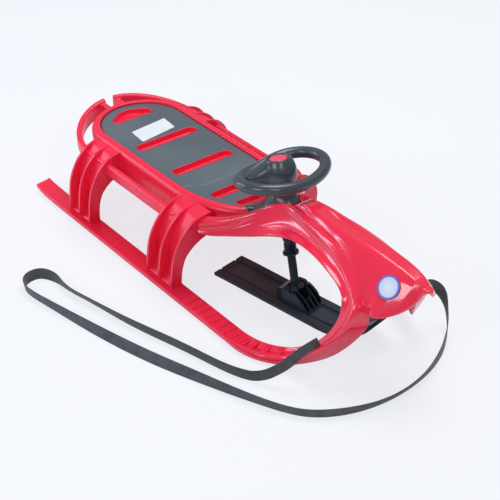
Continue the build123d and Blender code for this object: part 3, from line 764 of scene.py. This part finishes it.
# ------------------------------------------------------------------------------------------
# Steering wheel: one moulding in black-grey plastic on top of the column. A round rim, wider
# than long, is joined to its hub by a solid fan on the driver's side.
TILT, PARKED = math.radians(12.4), math.radians(9.5)    # lean of the column, turn at rest
COLUMN_FOOT = (152, 0, 30)
RIM_TUBE, RIM_STEPS, TUBE_STEPS, HUB_STEPS = 10.5, 144, 28, 96
# hub: height on the axis, radius in front, and how far it fans out to the rim behind
HUB = [(200, 20, 0), (209, 26.5, 0.30), (218, 29.5, 0.80), (226, 29.6, 0.97), (234, 28.6, 0.80),
       (242, 26.2, 0.36), (248, 23.6, 0.08), (252, 21.6, 0)]
HUB_TOP = [(252.5, 20.6, 0), (252.3, 19.4, 0), (251.2, 18.8, 0), (248.4, 18.6, 0)]
FAN_REACH, FAN_START, FAN_FULL = 0.97, 84, 126
# the rim's reach and its height: the mean, what comes once a turn, what comes twice
RIM_REACH, RIM_HEIGHT = (70.9, 9.5, -14.6), (225.6, -5.2, -3.9)
up_axis = Vector((-math.sin(TILT), 0, math.cos(TILT)))
fore = Matrix.Rotation(PARKED, 3, up_axis) @ Vector((math.cos(TILT), 0, math.sin(TILT)))
left = up_axis.cross(fore)


def on_axis(x, y, up):
    """A place in millimetres from the foot of the column: ahead, left and up along it."""
    return spot(*COLUMN_FOOT) + (fore * x + left * y + up_axis * up) / 1000


def rim_line(a):
    """The rim's reach and height at angle a: it dips towards the driver."""
    return [mean + once * math.cos(a) + twice * math.cos(2 * a)
            for mean, once, twice in (RIM_REACH, RIM_HEIGHT)]


def rim_spot(a):
    """The middle of the rim's tube at angle a."""
    reach, up = rim_line(a)
    return on_axis(reach * math.cos(a), reach * math.sin(a), up)


dark, tree, face = finish("trim_grey", (0.045, 0.060, 0.074), 0.30, clear=0.25)
tint(tree, face, grain(tree, 12), (0.038, 0.052, 0.064), (0.056, 0.074, 0.090))
relief(tree, face, grain(tree, 400, 2.0), 0.0001, 0.5)

mesh = bmesh.new()
rings = []
for a in turns(RIM_STEPS):
    run = (rim_spot(a + 0.01) - rim_spot(a - 0.01)).normalized()
    out = run.cross(up_axis).normalized()
    top = out.cross(run)
    circle = [out * math.cos(t) + top * math.sin(t) for t in turns(TUBE_STEPS)]
    rings.append([mesh.verts.new(rim_spot(a) + p * RIM_TUBE / 1000) for p in circle])
tube(mesh, rings + rings[:1])
rings = []
for up, front, share in [tuple(p) for p in flow(HUB, 40)] + HUB_TOP:
    ring = []
    for a in turns(HUB_STEPS):
        spread = ramp(math.degrees(min(a, 2 * math.pi - a)), FAN_START, FAN_FULL)
        r = front + (FAN_REACH * rim_line(a)[0] - front) * max(share, 0) * spread
        ring.append(mesh.verts.new(on_axis(r * math.cos(a), r * math.sin(a), up)))
    rings.append(ring)
bar(mesh, rings)
bmesh.ops.recalc_face_normals(mesh, faces=mesh.faces)
wheel = moulded(shown("steering_wheel", mesh), voxel=0.0012, rounds=14, limit=150000,
                material=dark)
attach(wheel, "steering")
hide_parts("wheel")

# ------------------------------------------------------------------------------------------
# Console: the fixed cover round the column, under the wheel, in the same black-grey plastic. A
# saddle runs back from it over the front rim of the deck, round the end of the seat.

# the saddle over the rim: out from the seat's outline, and up
SADDLE = [(-0.004, 0.1668), (0.000, 0.1700), (0.006, 0.1722), (0.012, 0.1712), (0.0165, 0.1670),
          (0.0185, 0.1600), (0.0190, 0.1520)]
SADDLE_WALL, SADDLE_SIDE, SADDLE_STEPS = 0.0035, 24.5, 40


def round_nose(a, grow, z):
    """A place round the front end of the seat, outside its outline by 'grow'."""
    return (SEAT_FRONT + (SEAT_NOSE + grow) * math.cos(a), -(SEAT_HALF + grow) * math.sin(a), z)


mesh = gathered(["console"])
rings = []
for i in range(SADDLE_STEPS + 1):
    a = math.radians(-SADDLE_SIDE + 2 * SADDLE_SIDE * i / SADDLE_STEPS)
    over = [round_nose(a, g, z) for g, z in SADDLE]
    under = [round_nose(a, g - SADDLE_WALL, z - SADDLE_WALL) for g, z in SADDLE[::-1]]
    rings.append([mesh.verts.new(p) for p in over + under])
bar(mesh, rings)
bmesh.ops.recalc_face_normals(mesh, faces=mesh.faces)
console = moulded(shown("console_saddle", mesh), voxel=0.0013, rounds=10, limit=120000,
                  material=dark)
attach(console, "sled")
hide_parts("console")

# ------------------------------------------------------------------------------------------
# Column, bellows, ski bracket and ski: black mouldings. The column turns in the ribbed bellows
# and carries the ski in its bracket; the ski is duller and scuffed along its length.
COLD_SHEEN = (0.18, 0.62, 1.0, 1)


def dress(node, material):
    """Give a part that keeps its own mesh its material."""
    part = bpy.data.objects[node]
    for slot in part.material_slots:
        slot.material = material
    if not part.material_slots:
        part.data.materials.append(material)


black, tree, face = finish("black_plastic", (0.018, 0.023, 0.030), 0.26, clear=0.3)
face.inputs["Specular Tint"].default_value = COLD_SHEEN
tint(tree, face, grain(tree, 14), (0.013, 0.018, 0.024), (0.024, 0.031, 0.039))
relief(tree, face, grain(tree, 500, 2.0), 0.00015, 0.5)
for node in ("column", "bellows", "ski_bracket"):
    dress(node, black)

scuffed, tree, face = finish("ski_black", (0.040, 0.046, 0.054), 0.30)
face.inputs["Specular Tint"].default_value = COLD_SHEEN
tint(tree, face, grain(tree, 22, 4.0, (0.35, 1, 1)), (0.026, 0.031, 0.037), (0.062, 0.069, 0.078))
polish(tree, face, grain(tree, 60, 3.0, (0.2, 1, 1)), 0.24, 0.42)
relief(tree, face, grain(tree, 500, 2.0), 0.00012, 0.5)
dress("ski", scuffed)

# ------------------------------------------------------------------------------------------
# Wheel button: a round red cap of glossy plastic, pressed into the middle of the hub. It turns
# with the wheel.
cap, tree, face = finish("button_red", (0.86, 0.05, 0.11), 0.3, clear=0.3)
tint(tree, face, grain(tree, 20), (0.84, 0.04, 0.10), (0.90, 0.07, 0.13))
dress("wheel_button", cap)

# ------------------------------------------------------------------------------------------
# Badge: a round pale blue sticker with a dark blue ring, on the right side of the bonnet's
# nose. It is left bare.

# the badge's tones from its middle to its edge, as shares of its radius
BADGE_RINGS = [(0.62, (0.62, 0.72, 0.92, 1)), (0.80, (0.60, 0.66, 0.90, 1)),
               (0.86, (0.18, 0.16, 0.52, 1))]

film, tree, face = finish("badge_blue", (0.70, 0.78, 0.92), 0.25, clear=0.4)
low, high = (Vector(c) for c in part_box("badge"))
place, reach, ring, span = (tree.nodes.new(f"ShaderNode{n}")
                            for n in ("TexCoord", "VectorMath", "ValToRGB", "MapRange"))
reach.operation = "DISTANCE"
reach.inputs[1].default_value = (low + high) / 2
span.inputs["From Max"].default_value = max(high - low) / 2
stops = ring.color_ramp.elements
stops[0].position, stops[0].color = 0.0, (0.78, 0.85, 0.95, 1)
stops[1].position, stops[1].color = 1.0, (0.16, 0.14, 0.50, 1)
for at, tone in BADGE_RINGS:
    stops.new(at).color = tone
tree.links.new(place.outputs["Object"], reach.inputs[0])
tree.links.new(reach.outputs["Value"], span.inputs["Value"])
tree.links.new(span.outputs["Result"], ring.inputs["Fac"])
tree.links.new(ring.outputs["Color"], face.inputs["Base Color"])
dress("badge", film)

# ------------------------------------------------------------------------------------------
# Steel strips and ski pin: a flat strip of bare steel under each runner, and the round pin
# that the ski tilts on. They are brushed along the sled.
steel, tree, face = finish("steel", (0.40, 0.41, 0.43), 0.35)
face.inputs["Metallic"].default_value = 1.0
polish(tree, face, grain(tree, 40, 2.0, (1, 12, 12)), 0.25, 0.5)
for node in ("steel_rail_left", "steel_rail_right", "ski_pin"):
    dress(node, steel)

# ------------------------------------------------------------------------------------------
# Studio: a pale floor that runs out to a white room, with soft lamps above and narrow ones
# beside the sled, whose reflections draw the streaks on the polished nose.
FLOOR_REACH, FLOOR_GLOW, ROOM_LIGHT = 30.0, 0.76, 0.34
STRIP_ANGLES, STRIP_AWAY, STRIP_HIGH = (206, 216, 229), 2.3, 0.9


def lamp(name, place, aim, size, power, tone=(1, 1, 1)):
    """A flat soft lamp at a place, turned to face its aim."""
    light = bpy.data.lights.new(name, "AREA")
    light.shape, light.size, light.size_y = "RECTANGLE", size[0], size[1]
    light.energy, light.color = power, tone
    body = bpy.data.objects.new(name, light)
    bpy.context.scene.collection.objects.link(body)
    body.location = place
    body.rotation_euler = (Vector(aim) - Vector(place)).to_track_quat("-Z", "Y").to_euler()


mesh = bmesh.new()
mesh.faces.new([mesh.verts.new((x * FLOOR_REACH, y * FLOOR_REACH, 0))
                for x, y in ((-1, -1), (1, -1), (1, 1), (-1, 1))])
floor = shown("floor", mesh)
ground, tree, face = finish("floor", (0.84, 0.85, 0.91), 0.95)
face.inputs["Specular IOR Level"].default_value = 0.0
seen, glow, blend, share = (tree.nodes.new(f"ShaderNode{n}")
                            for n in ("LightPath", "Emission", "MixShader", "Math"))
glow.inputs["Color"].default_value = (0.945, 0.965, 1.0, 1)
share.operation = "MULTIPLY"
share.inputs[1].default_value = FLOOR_GLOW
tree.links.new(seen.outputs["Is Camera Ray"], share.inputs[0])
tree.links.new(share.outputs[0], blend.inputs["Fac"])
tree.links.new(face.outputs["BSDF"], blend.inputs[1])
tree.links.new(glow.outputs["Emission"], blend.inputs[2])
tree.links.new(blend.outputs["Shader"], tree.nodes["Material Output"].inputs["Surface"])
floor.data.materials.append(ground)

world = bpy.data.worlds.new("world")
bpy.context.scene.world = world
world.use_nodes = True
tree = world.node_tree
room = tree.nodes["Background"]
room.inputs["Color"].default_value = (0.88, 0.92, 1.0, 1)
room.inputs["Strength"].default_value = ROOM_LIGHT
white, seen, blend = (tree.nodes.new(f"ShaderNode{n}")
                      for n in ("Background", "LightPath", "MixShader"))
white.inputs["Color"].default_value = (0.93, 0.95, 0.985, 1)
tree.links.new(seen.outputs["Is Camera Ray"], blend.inputs["Fac"])
tree.links.new(room.outputs["Background"], blend.inputs[1])
tree.links.new(white.outputs["Background"], blend.inputs[2])
tree.links.new(blend.outputs["Shader"], tree.nodes["World Output"].inputs["Surface"])

lamp("overhead", (-0.3, 0.7, 2.6), (0, 0, 0.1), (1.5, 1.5), 42)
lamp("front", (2.2, -0.9, 2.0), (0.2, 0, 0.1), (0.9, 0.9), 12)
lamp("right", (0.5, -2.4, 1.5), (0.1, 0, 0.1), (1.0, 0.7), 14)
for n, angle in enumerate(STRIP_ANGLES):
    round_it = math.radians(angle)
    place = (STRIP_AWAY * math.cos(round_it), STRIP_AWAY * math.sin(round_it), STRIP_HIGH)
    lamp(f"strip_{n}", place, (0.1, -0.1, 0.15), (0.12, 1.3), 5.0, (0.82, 0.78, 1.0))
